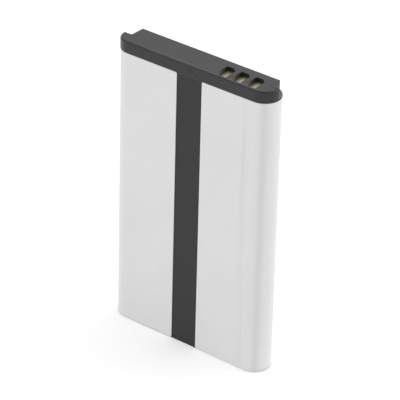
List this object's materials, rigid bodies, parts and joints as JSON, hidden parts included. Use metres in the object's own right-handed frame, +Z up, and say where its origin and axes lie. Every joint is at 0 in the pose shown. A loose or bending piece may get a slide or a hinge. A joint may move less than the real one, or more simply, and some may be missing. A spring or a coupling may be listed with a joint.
{
  "type": "gps device battery",
  "caption": "Flat rechargeable battery pack with rounded ends, a light film wrap, and a dark moulded cap with gilt contacts in windows and latch notches at its rear corners.",
  "frame": {"origin": "middle of the flat on the lower end that the pack stands on", "axes": "+Z up along the pack's height to the contact end, +X across its width to the right with the contacts, +Y from the front with the dark strip to the back"},
  "size_m": [0.0346, 0.0064, 0.0573],
  "materials": {
    "cap_plastic": "fine spark-eroded texture, dark grey",
    "label_film": "satin light grey film",
    "sleeve_film": "satin dark grey film",
    "can_metal": "drawn, dull",
    "gasket_plastic": "natural",
    "rivet_metal": "pressed",
    "insulator_paper": "pressed fibre paper",
    "nickel": "rolled nickel strip",
    "cutout_film": "amber film wrap",
    "board_laminate": "solder mask over glass laminate",
    "gilt": "gilt flash",
    "package_resin": "moulded resin",
    "thermistor_body": "dull",
    "resistor_body": "glazed film on ceramic",
    "capacitor_body": "dull",
    "adhesive_tape": "transfer adhesive"
  },
  "bodies": {
    "root": {"top_cap": "cap_plastic", "bottom_cap": "cap_plastic", "label_wrap": "label_film", "insulating_sleeve": "sleeve_film", "cell": "can_metal", "terminal_gasket": "gasket_plastic", "terminal_rivet": "rivet_metal", "fill_plug": "rivet_metal", "lid_insulator": "insulator_paper", "positive_plate": "nickel", "positive_tab": "nickel", "negative_tab": "nickel", "thermal_cutout": "cutout_film", "circuit_board": "board_laminate", "contact_plus": "gilt", "contact_middle": "gilt", "contact_minus": "gilt", "protection_chip": "package_resin", "switch_transistor": "package_resin", "thermistor": "thermistor_body", "resistors": "resistor_body", "capacitors": "capacitor_body", "bottom_tape": "adhesive_tape"}
  },
  "joints": []
}
